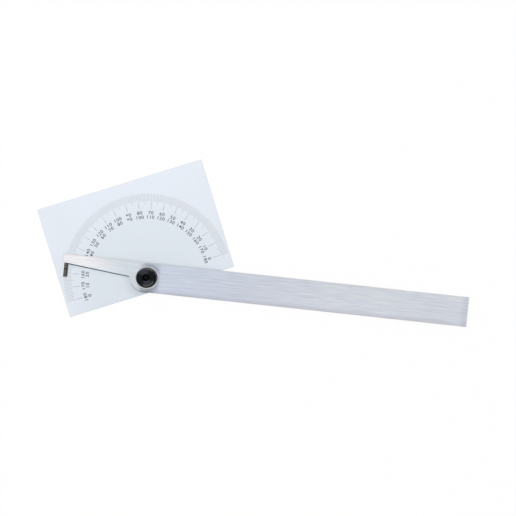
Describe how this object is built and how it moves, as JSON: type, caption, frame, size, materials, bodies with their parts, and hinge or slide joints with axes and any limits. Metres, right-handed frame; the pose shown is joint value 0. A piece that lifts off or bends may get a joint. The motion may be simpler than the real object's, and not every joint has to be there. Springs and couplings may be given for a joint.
{
  "type": "protractor",
  "caption": "Machinist's protractor: rectangular scale plate graduated 0 to 180 degrees, with a swinging steel blade and pointer, locked by a knurled nut.",
  "frame": {"origin": "on the pivot axis, at the back face of the scale plate", "axes": "+Z out of the scale plate towards the reader, along the pivot; +X along the plate's base edge towards 0 degrees of the counter-clockwise row; +Y up the plate, towards 90 degrees"},
  "size_m": [0.186, 0.1144, 0.0077],
  "materials": {
    "satin_plate": "satin",
    "turned_steel": "satin",
    "brushed_blade": "satin",
    "spring_steel": "satin",
    "washer_steel": "satin",
    "black_steel": "satin"
  },
  "bodies": {
    "head": {"scale_plate": "satin_plate", "pivot_stud": "turned_steel", "wave_washer": "spring_steel"},
    "arm": {"blade": "brushed_blade"},
    "washer": {"clamp_washer": "washer_steel"},
    "nut": {"lock_nut": "black_steel"}
  },
  "joints": [
    {"name": "arm_swing", "type": "hinge", "parent": "head", "child": "arm", "pos_m": [0, 0, 0.001], "axis": [0, 0, 1], "continuous": true},
    {"name": "washer_lift", "type": "slide", "parent": "head", "child": "washer", "axis": [0, 0, 1], "range_m": [0, 0.0007]},
    {"name": "nut_turn", "type": "hinge", "parent": "washer", "child": "nut", "pos_m": [0, 0, 0.00318], "axis": [0, 0, 1], "range_deg": [0, 360]}
  ],
  "couplings": [
    {"joint": "nut_turn", "follows": "washer_lift", "rad_per_m": 8976}
  ]
}
